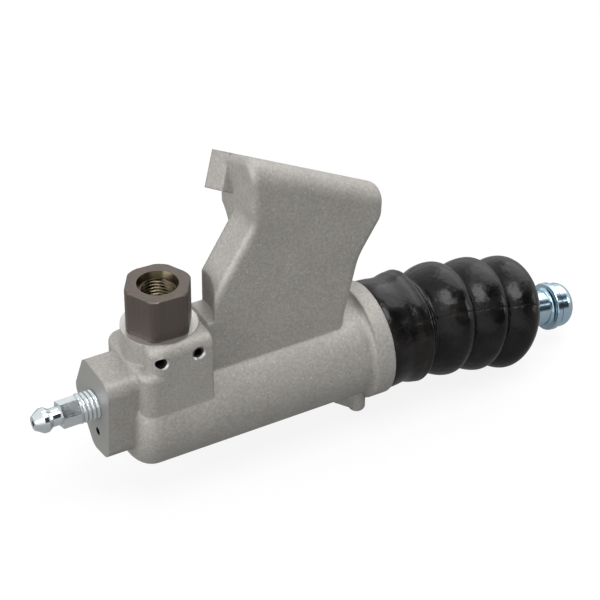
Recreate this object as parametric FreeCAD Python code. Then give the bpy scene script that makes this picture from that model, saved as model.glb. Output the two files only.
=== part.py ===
import FreeCAD, Part
import math
import os
from FreeCAD import Rotation, Vector

# Clutch slave cylinder, in millimetres.
# It is modelled on its own cylinder axis: X runs along the bore towards the pushrod, with x = 0 at
# the collar that the boot seats against, Z is up along the hose port, and -Y is the machined front.
# The pieces are written out moved so that the origin is the centre of the mounting pad.

# Driving dimensions of the barrel and its bore
bore_dia = 20.64
barrel_dia = 30.0
barrel_end_x = -78.0
barrel_end_radius = 6.0
bore_bottom_x = -70.0
collar_rim = 2.0
collar_width = 5.0
nose_dia = 27.4
nose_length = 7.0
nose_chamfer = 0.8
boot_groove_start = 1.8
boot_groove_width = 2.8
boot_groove_depth = 1.3
bore_mouth_chamfer = 0.8

# Driving dimensions of the hose port block
port_x = -66.0
block_left_x = -77.0
block_right_x = -56.3
block_half_depth = 13.0
block_corner_radius = 4.5
shelf_z = 20.8
shelf_radius = 2.0
block_top_front_x = -75.5
block_top_back_x = -69.0
block_top_z = 29.0
block_top_radius = 3.2
block_top_corner_radius = 4.5
port_boss_dia = 21.2
seat_dia = 21.6
seat_depth = 0.6
port_bore_dia = 13.1
port_bore_depth = 13.4
port_passage_dia = 3.0
pin_offset = 5.45
pin_z = 24.6
pin_dia = 3.2
pin_hole_chamfer = 0.45

# Driving dimensions of the bleed boss
bleed_face_x = -86.0
bleed_z = 8.1
bleed_thread_dia = 8.0
bleed_thread_depth = 10.0
bleed_seat_dia = 3.4
bleed_passage_dia = 2.2
boss_corner_radius = 3.6
boss_outline = [(-9.8, 19.4), (-7.4, -6.6), (2.2, -8.2), (13.2, 5.6), (6.6, 19.4)]
dimple_y = -1.1
dimple_z = -0.8
dimple_dia = 2.3
dimple_depth = 1.6

# Driving dimensions of the bracket arm
arm_front_y = -8.0
web_back_y = 3.0
head_back_y = 11.3
head_back_curve = [(10.3, 54.0), (7.7, 51.3), (5.2, 45.8), (4.0, 39.4), (3.2, 35.0), (1.0, 31.0)]
arm_left_x = -41.1
arm_right_x = 0.1
pad_lean_x_deg = 26.73
pad_lean_y_deg = 23.23
pad_height = 60.43
pad_center_x = -20.0
pad_center_y = 7.0
lip_thickness = 10.5
lip_back_y = 15.6
lip_depth = 8.2
lip_left_reach = 22.0
lip_right_reach = 20.5
pad_edge_radius = 5.0
arm_corner_radius = 3.5
arm_edge_radius = 2.0
arm_bend_radius = 6.0
arm_foot_right_x = -11.2
arm_foot_right_z = 15.0
arm_right_bend_z = 46.0
arm_waist_x = -6.9
arm_waist_z = 34.5
arm_left_bend_z = 55.5
arm_foot_left_x = -54.0
arm_foot_top_z = 30.0
arm_foot_side_z = 26.0
arm_sunk = 1.0
socket_clearance_radius = 15.0
bolt_pitch = 20.0
bolt_hole_dia = 6.8
bolt_hole_depth = 14.0
bolt_hole_chamfer = 0.8
cast_radius = 1.9

# Driving dimensions of the small post under the barrel
post_x = -6.6
post_y = -7.0
post_dia = 5.0
post_bottom_z = -19.0
post_end_radius = 1.2
rib_thickness = 2.8
rib_reach = 8.4
rib_foot = 2.4
rib_low_z = -17.4
rib_high_z = -13.0
rib_sunk_z = -8.0

# Driving dimensions of the hose adapter, its ring seal and its two roll pins
hex_flats = 17.0
hex_height = 13.0
hex_chamfer_deg = 30.0
hex_chamfer_in = 0.4
hex_turn_deg = -3.0
adapter_thread_dia = 10.0
adapter_relief_dia = 10.6
adapter_relief_height = 0.4
adapter_mouth_dia = 11.2
adapter_mouth_depth = 1.6
adapter_hole_depth = 11.0
adapter_cone_deg = 42.0
adapter_cone_dia = 9.0
stem_dia = 13.0
stem_length = 12.6
stem_passage_dia = 2.6
stem_groove_gap = 0.1
oring_section = 1.8
oring_squeeze_gap = 0.02
oring_from_stem_end = 3.0
oring_groove_gap = 0.2
roll_pin_wall = 0.5
roll_pin_slot = 0.7
roll_pin_length = 18.0
left_pin_recess = 1.8
right_pin_recess = 0.6
roll_pin_slot_turn_deg = 140.0
pin_fit_gap = 0.01

# Driving dimensions of the bleed screw
screw_shank_dia = 7.9
screw_exposed_thread = 5.1
screw_hex_flats = 7.0
screw_hex_length = 5.4
screw_neck_dia = 5.2
screw_neck_length = 2.6
screw_barb_dia = 7.0
screw_barb_length = 5.0
screw_tip_dia = 4.0
screw_hole_dia = 1.6
screw_hex_turn_deg = 12.0
screw_hex_relief = 0.3
screw_barb_ramp = 2.4
screw_barb_land = 1.2
screw_cross_hole_in = 3.2

# Driving dimensions of the piston, its cups, spring and stop ring
sliding_gap = 0.04
piston_rear_x = -30.0
stop_ring_x = -3.5
stop_ring_thickness = 1.2
stop_ring_groove_depth = 0.9
stop_ring_width = 2.0
stop_ring_open_deg = 50.0
ring_side_gap = 0.05
piston_front_chamfer = 0.5
socket_center_x = -9.0
socket_gap = 0.1
socket_mouth_dia = 14.0
cup_groove_x = -21.5
cup_groove_width = 4.0
cup_groove_depth = 2.8
piston_spigot_dia = 7.0
piston_spigot_length = 1.4
cup_wall = 1.6
cup_gap = 0.03
cup_lip = 0.6
cup_edge = 0.8
primary_cup_length = 5.4
primary_cup_base = 2.2
spring_seat_thickness = 1.0
spring_seat_dia = 15.6
spring_seat_hub_length = 2.0
spring_coil_gap = 0.2
spring_wire_dia = 1.6
spring_seat_coil_dia = 12.8
spring_far_coil_dia = 18.0
spring_turns = 6.5
face_gap = 0.1

# Driving dimensions of the pushrod
rod_dia = 10.6
rod_droop_deg = 9.0
rod_reach = 82.0
rod_shoulder_reach = 74.4
rod_shoulder_dia = 14.6
rod_shoulder_thickness = 1.8
rod_groove_width = 0.7
rod_groove_depth = 0.7
rod_head_dia = 13.6
rod_fillet = 1.0
rod_head_radius = 3.2
rod_shoulder_radius = 0.5

# Driving dimensions of the boot
boot_wall = 1.6
boot_sleeve_dia = 32.6
boot_fold_dia = 34.0
boot_root_dia = 23.6
boot_first_root_dia = 31.0
boot_sleeve_length = 7.6
boot_fold_pitch = 11.7
boot_fold_count = 4
boot_bend_radius = 153.0
boot_end_wall = 2.4
boot_end_dia = 18.0
boot_rod_gap = 0.15
boot_seat_gap = 0.05
boot_sleeve_bevel = 0.6
boot_sleeve_dip_length = 1.6
boot_nose_gap = 0.4

X_AXIS = Vector(1, 0, 0)
Y_AXIS = Vector(0, 1, 0)
Z_AXIS = Vector(0, 0, 1)

pad_normal = Vector(
    math.tan(math.radians(pad_lean_x_deg)), math.tan(math.radians(pad_lean_y_deg)), 1.0
).normalize()
pad_center = Vector(pad_center_x, pad_center_y, pad_height)
pad_along = Y_AXIS.cross(pad_normal).normalize()
collar_dia = barrel_dia + 2 * collar_rim
seat_z = block_top_z - seat_depth
rod_center = Vector(socket_center_x, 0, 0)
hole_over = 3.0
overlap = 1.0
fold_steps = 10


def pad_z(x, y):
    """Height of the mounting pad's plane over a point."""
    reach = pad_normal.x * (pad_center.x - x) + pad_normal.y * (pad_center.y - y)
    return pad_center.z + reach / pad_normal.z


def cylinder(radius, start, direction, length):
    return Part.makeCylinder(radius, length, start, direction)


def cone(r_start, r_end, start, direction, length):
    return Part.makeCone(r_start, r_end, length, start, direction)


def turned(profile):
    """Solid of revolution about X from (x, radius) points."""
    wire = Part.makePolygon([Vector(x, 0, r) for x, r in profile + profile[:1]])
    return Part.Face(wire).revolve(Vector(0, 0, 0), X_AXIS, 360)


def plate_xz(points, y_start, y_end):
    """Plate with an outline in (x, z), from one depth to another."""
    wire = Part.makePolygon([Vector(x, y_start, z) for x, z in points + points[:1]])
    return Part.Face(wire).extrude(Vector(0, y_end - y_start, 0))


def near(value, wanted):
    return abs(value - wanted) < 0.01


def edges_where(shape, test):
    return [edge for edge in shape.Edges if test(edge)]


def is_line_along(edge, direction):
    if edge.Curve.TypeId != "Part::GeomLine":
        return False
    return abs(edge.Curve.Direction.dot(direction)) > 0.999


def hexagon(flats, start, direction, length, turn_deg):
    """Hexagonal bar with one flat turned by turn_deg about its axis."""
    corner = flats / math.sqrt(3)
    side = Z_AXIS if abs(direction.dot(Z_AXIS)) < 0.9 else X_AXIS
    points = []
    for step in range(6):
        spin = Rotation(direction, turn_deg + 60 * step)
        points.append(start + spin.multVec(side * corner))
    wire = Part.makePolygon(points + points[:1])
    return Part.Face(wire).extrude(direction * length)


def make_barrel():
    """Cast barrel with its closed rounded end, the collar and the boot's grooved nose."""
    length = -barrel_end_x
    barrel = cylinder(barrel_dia / 2, Vector(barrel_end_x, 0, 0), X_AXIS, length)
    end_edges = edges_where(barrel, lambda e: e.Closed and near(e.CenterOfMass.x, barrel_end_x))
    barrel = barrel.makeFillet(barrel_end_radius, end_edges)
    collar = cylinder(collar_dia / 2, Vector(-collar_width, 0, 0), X_AXIS, collar_width)
    barrel = barrel.fuse(collar).removeSplitter()

    def neck(edge):
        at_collar = edge.Closed and near(edge.CenterOfMass.x, -collar_width)
        return at_collar and near(edge.Curve.Radius, barrel_dia / 2)

    barrel = barrel.makeFillet(cast_radius, edges_where(barrel, neck))
    nose_r = nose_dia / 2
    groove_r = nose_r - boot_groove_depth
    groove_end = boot_groove_start + boot_groove_width
    nose = turned([
        (-collar_width, 0), (-collar_width, nose_r), (boot_groove_start, nose_r),
        (boot_groove_start, groove_r), (groove_end, groove_r), (groove_end, nose_r),
        (nose_length - nose_chamfer, nose_r), (nose_length, nose_r - nose_chamfer), (nose_length, 0),
    ])
    return barrel.fuse(nose)


def rounded_block(front_x, back_x, top_z, corner_radius, top_radius):
    """Block from the barrel's axis up, its two left corners and its top rim rounded."""
    outline = [
        (front_x, -block_half_depth), (block_right_x, -block_half_depth),
        (block_right_x, block_half_depth), (back_x, block_half_depth),
    ]
    wire = Part.makePolygon([Vector(x, y, 0) for x, y in outline + outline[:1]])
    block = Part.Face(wire).extrude(Z_AXIS * top_z)

    def left_corner(edge):
        return is_line_along(edge, Z_AXIS) and edge.CenterOfMass.x < port_x

    def top_rim(edge):
        middle = edge.CenterOfMass
        return near(middle.z, top_z) and not near(middle.x, block_right_x)

    block = block.makeFillet(corner_radius, edges_where(block, left_corner))
    return block.makeFillet(top_radius, edges_where(block, top_rim))


def make_port_block():
    """Block that carries the hose adapter: a low shelf, a narrower top and the round port boss."""
    shelf = rounded_block(block_left_x, block_left_x, shelf_z, block_corner_radius, shelf_radius)
    top = rounded_block(
        block_top_front_x, block_top_back_x, block_top_z, block_top_corner_radius, block_top_radius
    )
    boss = cylinder(port_boss_dia / 2, Vector(port_x, 0, 0), Z_AXIS, block_top_z)
    return shelf.fuse([top, boss])


def make_bleed_boss():
    """Boss with the machined face that the bleed screw enters, joined to the block."""
    depth = port_x - bleed_face_x
    wire = Part.makePolygon([Vector(bleed_face_x, y, z) for y, z in boss_outline + boss_outline[:1]])
    boss = Part.Face(wire).extrude(Vector(depth, 0, 0))
    long_edges = edges_where(boss, lambda e: is_line_along(e, X_AXIS))
    return boss.makeFillet(boss_corner_radius, long_edges)


def rounded_outline(corners):
    """Closed outline in (x, z) whose corners (x, z, radius) are rounded by tangent arcs."""
    flat = [Vector(x, 0, z) for x, z, _ in corners]
    edges = []
    ends = []
    for index, (_, _, radius) in enumerate(corners):
        corner = flat[index]
        back = (flat[index - 1] - corner).normalize()
        ahead = (flat[(index + 1) % len(flat)] - corner).normalize()
        if radius == 0:
            ends.append((corner, None, corner))
            continue
        half = back.getAngle(ahead) / 2
        setback = radius / math.tan(half)
        bisector = (back + ahead).normalize()
        middle = corner + bisector * (radius / math.sin(half) - radius)
        ends.append((corner + back * setback, middle, corner + ahead * setback))
    for index, (start, middle, end) in enumerate(ends):
        if middle:
            edges.append(Part.Arc(start, middle, end).toShape())
        following = ends[(index + 1) % len(ends)][0]
        edges.append(Part.LineSegment(end, following).toShape())
    return Part.Wire(edges)


def plate_of(corners, y_start, y_end):
    """Plate with a rounded outline, from one depth to another."""
    plate = Part.Face(rounded_outline(corners)).extrude(Vector(0, y_end - y_start, 0))
    plate.translate(Vector(0, y_start, 0))
    return plate


def right_side(top_z):
    """The arm's side towards the boot, shared by its web and its head, from the top down."""
    sweep_radius = 3 * arm_bend_radius
    return [
        (arm_right_x, top_z, 0), (arm_right_x, arm_right_bend_z, arm_bend_radius),
        (arm_waist_x, arm_waist_z, sweep_radius), (arm_foot_right_x, arm_foot_right_z, sweep_radius),
        (arm_foot_right_x, 0, 0),
    ]


def make_web():
    """Flat web that rises from the barrel and leans along it."""
    top_z = pad_z(arm_left_x, arm_front_y) + hole_over
    inside_block_x = block_right_x - arm_sunk
    corners = right_side(top_z) + [
        (inside_block_x, 0, 0), (inside_block_x, arm_foot_side_z, 0),
        (arm_foot_left_x, arm_foot_top_z, 0), (arm_foot_left_x, arm_waist_z, arm_bend_radius),
        (arm_left_x, arm_left_bend_z, arm_bend_radius), (arm_left_x, top_z, 0),
    ]
    return plate_of(corners, arm_front_y, web_back_y)


def make_head():
    """Deep head behind the web, under the mounting pad, whose back sweeps down into the web."""
    top_z = pad_z(arm_left_x, arm_front_y) + hole_over
    corners = right_side(top_z) + [(arm_left_x, 0, 0), (arm_left_x, top_z, 0)]
    head = plate_of(corners, arm_front_y, head_back_y)
    start_x = arm_left_x - overlap
    rise = overlap * -pad_along.z / pad_along.x
    back = [Vector(start_x, y, z + rise) for y, z in head_back_curve]
    sweep = Part.BSplineCurve()
    sweep.interpolate(back)
    top = Vector(start_x, head_back_y, top_z)
    front_top = Vector(start_x, arm_front_y - overlap, top_z)
    front_low = Vector(start_x, arm_front_y - overlap, back[-1].z)
    outline = [sweep.toShape(), Part.makePolygon([back[-1], front_low, front_top, top, back[0]])]
    profile = Part.Face(Part.Wire(sum((piece.Edges for piece in outline), [])))
    return head.common(profile.extrude(pad_along * (3 * lip_left_reach)))


def make_lip():
    """Slab square to the mounting pad along the head's back."""
    across = pad_normal.cross(pad_along)
    front = (lip_back_y - pad_center_y) / across.y - lip_depth
    corner = pad_center - pad_along * lip_left_reach + across * front - pad_normal * lip_thickness
    length = lip_left_reach + lip_right_reach
    slab = Part.makeBox(length, lip_depth, lip_thickness)
    right_edges = edges_where(slab, lambda e: is_line_along(e, Y_AXIS) and near(e.CenterOfMass.x, length))
    slab = slab.makeFillet(arm_corner_radius, right_edges)
    slab.Placement = FreeCAD.Placement(corner, Rotation(pad_along, across, pad_normal, "ZXY"))
    return slab


def half_space_block(point, normal):
    """Large block on the positive side of a plane."""
    side = 200.0
    block = Part.makeBox(side, side, side, Vector(-side / 2, -side / 2, 0))
    block.Placement = FreeCAD.Placement(point, Rotation(Z_AXIS, normal))
    return block


def make_arm():
    """Bracket arm: web, head and lip under the pad's plane, rounded along its front."""
    arm = make_web().fuse(make_head()).removeSplitter()
    arm = arm.cut(half_space_block(pad_center, pad_normal)).removeSplitter()

    def at_front(edge):
        return all(near(v.Point.y, arm_front_y) for v in edge.Vertexes)

    def on_pad(edge):
        return all(near((v.Point - pad_center).dot(pad_normal), 0) for v in edge.Vertexes)

    def left_front(edge):
        return at_front(edge) and is_line_along(edge, Z_AXIS) and near(edge.CenterOfMass.x, arm_left_x)

    def pad_right(edge):
        return on_pad(edge) and all(near(v.Point.x, arm_right_x) for v in edge.Vertexes)

    arm = arm.makeFillet(pad_edge_radius, edges_where(arm, lambda e: at_front(e) and on_pad(e)))
    arm = arm.makeFillet(arm_edge_radius, edges_where(arm, left_front))
    arm = arm.makeFillet(arm_corner_radius, edges_where(arm, pad_right))
    return arm.fuse(make_lip())


def make_post():
    """Small round post under the barrel with its wedge-shaped rib."""
    height = -post_bottom_z
    post = cylinder(post_dia / 2, Vector(post_x, post_y, post_bottom_z), Z_AXIS, height)
    rim = edges_where(post, lambda e: e.Closed and near(e.CenterOfMass.z, post_bottom_z))
    post = post.makeFillet(post_end_radius, rim)
    outer_x = post_x - rib_reach
    outline = [
        (post_x, rib_low_z), (post_x, rib_sunk_z), (outer_x, rib_sunk_z), (outer_x, rib_high_z),
        (post_x - rib_foot, rib_low_z),
    ]
    rib = plate_xz(outline, post_y - rib_thickness / 2, post_y + rib_thickness / 2)
    return post.fuse(rib)


def bore_cuts():
    """Stepped bore with the stop ring's groove and a chamfered mouth."""
    bore_r = bore_dia / 2
    ring_start = stop_ring_x - ring_side_gap
    ring_end = stop_ring_x + stop_ring_thickness + ring_side_gap
    groove_r = bore_r + stop_ring_groove_depth
    mouth_start = nose_length - bore_mouth_chamfer
    return turned([
        (bore_bottom_x, 0), (bore_bottom_x, bore_r), (ring_start, bore_r), (ring_start, groove_r),
        (ring_end, groove_r), (ring_end, bore_r), (mouth_start, bore_r),
        (nose_length, bore_r + bore_mouth_chamfer), (nose_length + hole_over, bore_r + bore_mouth_chamfer),
        (nose_length + hole_over, 0),
    ])


def port_cuts():
    """Machined seat, adapter bore, passage and the two roll pin holes."""
    top = Vector(port_x, 0, seat_z)
    cuts = [
        cylinder(seat_dia / 2, top, Z_AXIS, hole_over + seat_depth),
        cylinder(port_bore_dia / 2, top - Z_AXIS * port_bore_depth, Z_AXIS, port_bore_depth + overlap),
        cylinder(port_passage_dia / 2, Vector(port_x, 0, 0), Z_AXIS, seat_z - port_bore_depth + overlap),
    ]
    clearance_start = Vector(port_x, 0, block_top_z)
    cuts.append(cylinder(socket_clearance_radius, clearance_start, Z_AXIS, pad_height))
    for side in (-1, 1):
        mouth = Vector(port_x + side * pin_offset, -block_half_depth, pin_z)
        start = mouth - Y_AXIS * hole_over
        length = 2 * block_half_depth + 2 * hole_over
        cuts.append(cylinder(pin_dia / 2, start, Y_AXIS, length))
        wide = pin_dia / 2 + pin_hole_chamfer
        cuts.append(cone(wide, pin_dia / 2, mouth, Y_AXIS, pin_hole_chamfer))
    return cuts


def bleed_cuts():
    """Bleed screw hole with its seat cone and passage, and the small blind dimple."""
    face = Vector(bleed_face_x, 0, bleed_z)
    dimple = Vector(bleed_face_x, dimple_y, dimple_z)
    seat_start = face + X_AXIS * bleed_thread_depth
    seat_length = (bleed_thread_dia - bleed_seat_dia) / 2
    passage = seat_start + X_AXIS * seat_length
    reach = bore_bottom_x - passage.x + 2 * overlap
    return [
        cylinder(bleed_thread_dia / 2, face - X_AXIS * overlap, X_AXIS, bleed_thread_depth + overlap),
        cone(bleed_thread_dia / 2, bleed_seat_dia / 2, seat_start, X_AXIS, seat_length),
        cylinder(bleed_passage_dia / 2, passage - X_AXIS * overlap, X_AXIS, reach),
        cylinder(dimple_dia / 2, dimple - X_AXIS * overlap, X_AXIS, dimple_depth + overlap),
    ]


def bolt_centers():
    return [pad_center + pad_along * (side * bolt_pitch / 2) for side in (-1, 1)]


def bolt_cuts():
    """Blind tapped holes in the mounting pad."""
    cuts = []
    hole_r = bolt_hole_dia / 2
    for center in bolt_centers():
        bottom = center - pad_normal * bolt_hole_depth
        cuts.append(cylinder(hole_r, bottom, pad_normal, bolt_hole_depth + hole_over))
        wide = hole_r + bolt_hole_chamfer
        start = center - pad_normal * bolt_hole_chamfer
        cuts.append(cone(hole_r, wide, start, pad_normal, bolt_hole_chamfer))
    return cuts


def make_cylinder_body():
    """The one-piece casting with all its machining."""
    body = make_barrel().fuse([make_port_block(), make_bleed_boss(), make_arm(), make_post()])
    body = body.removeSplitter()
    return body.cut([bore_cuts()] + port_cuts() + bleed_cuts() + bolt_cuts())


def make_hose_adapter():
    """Hexagonal adapter with a tapped mouth and a grooved stem that the roll pins hold."""
    top_z = seat_z + hex_height
    bar = hexagon(hex_flats, Vector(port_x, 0, seat_z), Z_AXIS, hex_height, hex_turn_deg)
    corner_r = hex_flats / math.sqrt(3)
    cap_r = hex_flats / 2 - hex_chamfer_in
    drop = (corner_r - cap_r) * math.tan(math.radians(hex_chamfer_deg))
    middle_height = hex_height - 2 * drop
    trim = cylinder(corner_r + overlap, Vector(port_x, 0, seat_z + drop), Z_AXIS, middle_height)
    trim = trim.fuse([
        cone(cap_r, corner_r, Vector(port_x, 0, seat_z), Z_AXIS, drop),
        cone(corner_r, cap_r, Vector(port_x, 0, top_z - drop), Z_AXIS, drop),
    ])
    adapter = bar.common(trim)
    stem_r = stem_dia / 2
    stem_end = seat_z - stem_length
    adapter = adapter.fuse(cylinder(stem_r, Vector(port_x, 0, stem_end), Z_AXIS, stem_length + overlap))
    pin_groove_r = pin_offset - pin_dia / 2 - stem_groove_gap
    half_groove = pin_dia / 2 + stem_groove_gap
    adapter = adapter.cut(ring(stem_r + overlap, pin_groove_r, pin_z - half_groove, 2 * half_groove))
    seal_z = stem_end + oring_from_stem_end
    seal_groove_r = port_bore_dia / 2 - oring_section
    half_seal = oring_section / 2 + oring_groove_gap
    adapter = adapter.cut(ring(stem_r + overlap, seal_groove_r, seal_z - half_seal, 2 * half_seal))
    floor_z = top_z - adapter_hole_depth
    cone_r = adapter_cone_dia / 2
    passage_r = stem_passage_dia / 2
    cone_height = (cone_r - passage_r) * math.tan(math.radians(90 - adapter_cone_deg))
    relief_height = cone_height + adapter_relief_height
    floor = Vector(port_x, 0, floor_z)
    tapped = cylinder(adapter_thread_dia / 2, floor, Z_AXIS, adapter_hole_depth + overlap)
    relief = cylinder(adapter_relief_dia / 2, floor, Z_AXIS, relief_height)
    mouth_start = Vector(port_x, 0, top_z - adapter_mouth_depth)
    mouth = cylinder(adapter_mouth_dia / 2, mouth_start, Z_AXIS, adapter_mouth_depth + overlap)
    seat = cone(cone_r, passage_r, floor, Z_AXIS, cone_height)
    passage_start = Vector(port_x, 0, stem_end - overlap)
    passage = cylinder(passage_r, passage_start, Z_AXIS, stem_length + hex_height)
    adapter = adapter.cut([tapped, relief, mouth]).fuse(seat)
    return adapter.cut(passage).removeSplitter()


def ring(outer_r, inner_r, start_z, height):
    """Annular band about the port axis."""
    start = Vector(port_x, 0, start_z)
    outer = cylinder(outer_r, start, Z_AXIS, height)
    return outer.cut(cylinder(inner_r, start, Z_AXIS, height))


def make_adapter_o_ring():
    seal_z = seat_z - stem_length + oring_from_stem_end
    section_r = oring_section / 2 - oring_squeeze_gap
    middle_r = port_bore_dia / 2 - oring_section / 2
    return Part.makeTorus(middle_r, section_r, Vector(port_x, 0, seal_z), Z_AXIS)


def make_roll_pin(side, recess):
    """Rolled spring pin with its open slot facing up and out."""
    outer_r = pin_dia / 2 - pin_fit_gap
    start = Vector(port_x + side * pin_offset, recess - block_half_depth, pin_z)
    pin = cylinder(outer_r, start, Y_AXIS, roll_pin_length)
    pin = pin.cut(cylinder(outer_r - roll_pin_wall, start, Y_AXIS, roll_pin_length))
    slot = Part.makeBox(pin_dia, roll_pin_length, roll_pin_slot, Vector(0, 0, -roll_pin_slot / 2))
    slot.Placement = FreeCAD.Placement(start, Rotation(Y_AXIS, roll_pin_slot_turn_deg))
    return pin.cut(slot)


def make_bleed_screw():
    """Bleed screw: hose barb, neck, hexagon, thread and seating cone, drilled from the tip."""
    face = bleed_face_x
    shank_r = screw_shank_dia / 2
    hex_right = face - screw_exposed_thread
    hex_left = hex_right - screw_hex_length
    neck_left = hex_left - screw_neck_length
    tip = neck_left - screw_barb_length
    barb_r = screw_barb_dia / 2
    neck_r = screw_neck_dia / 2
    core_r = screw_hex_flats / 2 - screw_hex_relief
    land = tip + screw_barb_ramp
    cone_tip_r = bleed_seat_dia / 2
    cone_start = face + bleed_thread_depth + bleed_thread_dia / 2 - shank_r - face_gap
    cone_end = cone_start + shank_r - cone_tip_r
    body = turned([
        (tip, 0), (tip, screw_tip_dia / 2), (land, barb_r), (land + screw_barb_land, barb_r),
        (neck_left, neck_r), (hex_left, neck_r), (hex_left, core_r), (hex_right, core_r),
        (hex_right, shank_r), (cone_start, shank_r), (cone_end, cone_tip_r), (cone_end, 0),
    ])
    bar = hexagon(screw_hex_flats, Vector(hex_left, 0, 0), X_AXIS, screw_hex_length, screw_hex_turn_deg)
    body = body.fuse(bar)
    hole_r = screw_hole_dia / 2
    cross_x = cone_start - screw_cross_hole_in
    drilled = cylinder(hole_r, Vector(tip - overlap, 0, 0), X_AXIS, cross_x - tip + 2 * overlap)
    cross = cylinder(hole_r, Vector(cross_x, 0, -screw_shank_dia), Z_AXIS, 2 * screw_shank_dia)
    body = body.cut([drilled, cross])
    body.translate(Vector(0, 0, bleed_z))
    return body


def make_piston():
    """Piston with the pushrod's ball socket, the rear cup groove and the front spigot."""
    piston_r = bore_dia / 2 - sliding_gap
    front = stop_ring_x - face_gap
    groove_end = cup_groove_x + cup_groove_width
    groove_r = piston_r - cup_groove_depth
    spigot_r = piston_spigot_dia / 2
    spigot_x = piston_rear_x - piston_spigot_length
    body = turned([
        (spigot_x, 0), (spigot_x, spigot_r), (piston_rear_x, spigot_r), (piston_rear_x, piston_r),
        (cup_groove_x, piston_r), (cup_groove_x, groove_r), (groove_end, groove_r), (groove_end, piston_r),
        (front - piston_front_chamfer, piston_r), (front, piston_r - piston_front_chamfer), (front, 0),
    ])
    socket_r = rod_dia / 2 + socket_gap
    ball = Part.makeSphere(socket_r, rod_center)
    mouth = cone(socket_r, socket_mouth_dia / 2, rod_center, X_AXIS, front - socket_center_x)
    return body.cut([ball, mouth])


def make_primary_cup():
    """Pressure cup in front of the piston, its lip open towards the fluid."""
    outer_r = bore_dia / 2 - cup_gap
    back = piston_rear_x
    front = back - primary_cup_length
    floor = back - primary_cup_base
    lip_r = outer_r - cup_wall
    hole_r = piston_spigot_dia / 2
    return turned([
        (back, hole_r), (back, outer_r - cup_lip), (back - cup_edge, outer_r - cup_lip / 2),
        (front, outer_r), (front, outer_r - cup_lip), (floor, lip_r - cup_lip), (floor, hole_r),
    ])


def make_secondary_cup():
    """Rear cup in the piston's groove, which keeps the fluid from the boot."""
    outer_r = bore_dia / 2 - cup_gap
    groove_r = bore_dia / 2 - sliding_gap - cup_groove_depth
    start = cup_groove_x + ring_side_gap
    end = cup_groove_x + cup_groove_width - ring_side_gap
    return turned([
        (start, groove_r), (start, groove_r + cup_lip), (start + cup_edge, groove_r + cup_edge),
        (start, outer_r - cup_lip), (start, outer_r), (end - cup_edge, outer_r - cup_lip / 2),
        (end, outer_r - cup_lip), (end, groove_r),
    ])


def make_spring_seat():
    """Pressed washer in the primary cup that centres the spring."""
    back = piston_rear_x - primary_cup_base
    front = back - spring_seat_thickness
    hub_r = spring_seat_coil_dia / 2 - spring_wire_dia / 2 - spring_coil_gap
    hub_end = front - spring_seat_hub_length
    rim_r = spring_seat_dia / 2
    return turned([
        (back, 0), (back, rim_r), (front, rim_r), (front, hub_r), (hub_end, hub_r - spring_coil_gap),
        (hub_end, 0),
    ])


def make_return_spring():
    """Conical coil spring between the bore's bottom and the spring seat."""
    seat_face = piston_rear_x - primary_cup_base - spring_seat_thickness
    wire_r = spring_wire_dia / 2
    start_x = bore_bottom_x + wire_r + face_gap
    end_x = seat_face - wire_r - face_gap
    height = end_x - start_x
    pitch = height / spring_turns
    r_start = spring_far_coil_dia / 2
    r_end = spring_seat_coil_dia / 2
    taper = math.degrees(math.atan((r_start - r_end) / height))
    path = Part.makeHelix(pitch, height, r_end, taper)
    tangent = Vector(0, 1, 0)
    section = Part.Wire(Part.makeCircle(wire_r, Vector(r_end, 0, 0), tangent))
    spring = Part.Wire(path.Edges).makePipeShell([section], True, True)
    spring.Placement = FreeCAD.Placement(Vector(end_x, 0, 0), Rotation(Z_AXIS, -X_AXIS))
    return spring


def make_stop_ring():
    """Flat spring ring in the bore's groove, which stops the piston."""
    outer_r = bore_dia / 2 + stop_ring_groove_depth - ring_side_gap
    inner_r = outer_r - stop_ring_width
    end = stop_ring_x + stop_ring_thickness
    profile = [(stop_ring_x, inner_r), (stop_ring_x, outer_r), (end, outer_r), (end, inner_r)]
    wire = Part.makePolygon([Vector(x, 0, r) for x, r in profile + profile[:1]])
    face = Part.Face(wire)
    face.rotate(Vector(0, 0, 0), X_AXIS, 180 + stop_ring_open_deg / 2)
    return face.revolve(Vector(0, 0, 0), X_AXIS, 360 - stop_ring_open_deg)


def on_rod(shape):
    """Place a shape made along X from the ball's centre on the drooping rod axis."""
    shape.Placement = FreeCAD.Placement(rod_center, Rotation(Y_AXIS, rod_droop_deg))
    return shape


def make_pushrod():
    """Pushrod with its ball end and its shouldered mushroom head."""
    rod_r = rod_dia / 2
    shoulder_r = rod_shoulder_dia / 2
    shoulder_end = rod_shoulder_reach + rod_shoulder_thickness
    groove_end = shoulder_end + rod_groove_width
    head_r = rod_head_dia / 2
    rod = turned([
        (0, 0), (0, rod_r), (rod_shoulder_reach, rod_r), (rod_shoulder_reach, shoulder_r),
        (shoulder_end, shoulder_r), (shoulder_end, head_r - rod_groove_depth),
        (groove_end, head_r - rod_groove_depth), (groove_end, head_r), (rod_reach, head_r), (rod_reach, 0),
    ])

    def at(edge, x, r):
        return edge.Closed and near(edge.CenterOfMass.x, x) and near(edge.Curve.Radius, r)

    roundings = [
        (rod_shoulder_reach, rod_r, rod_fillet), (rod_reach, head_r, rod_head_radius),
        (rod_shoulder_reach, shoulder_r, rod_shoulder_radius),
    ]
    for x, r, fillet in roundings:
        rod = rod.makeFillet(fillet, [edge for edge in rod.Edges if at(edge, x, r)])
    ball = Part.makeSphere(rod_r, Vector(0, 0, 0))
    return on_rod(rod.fuse(ball).removeSplitter())


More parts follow.
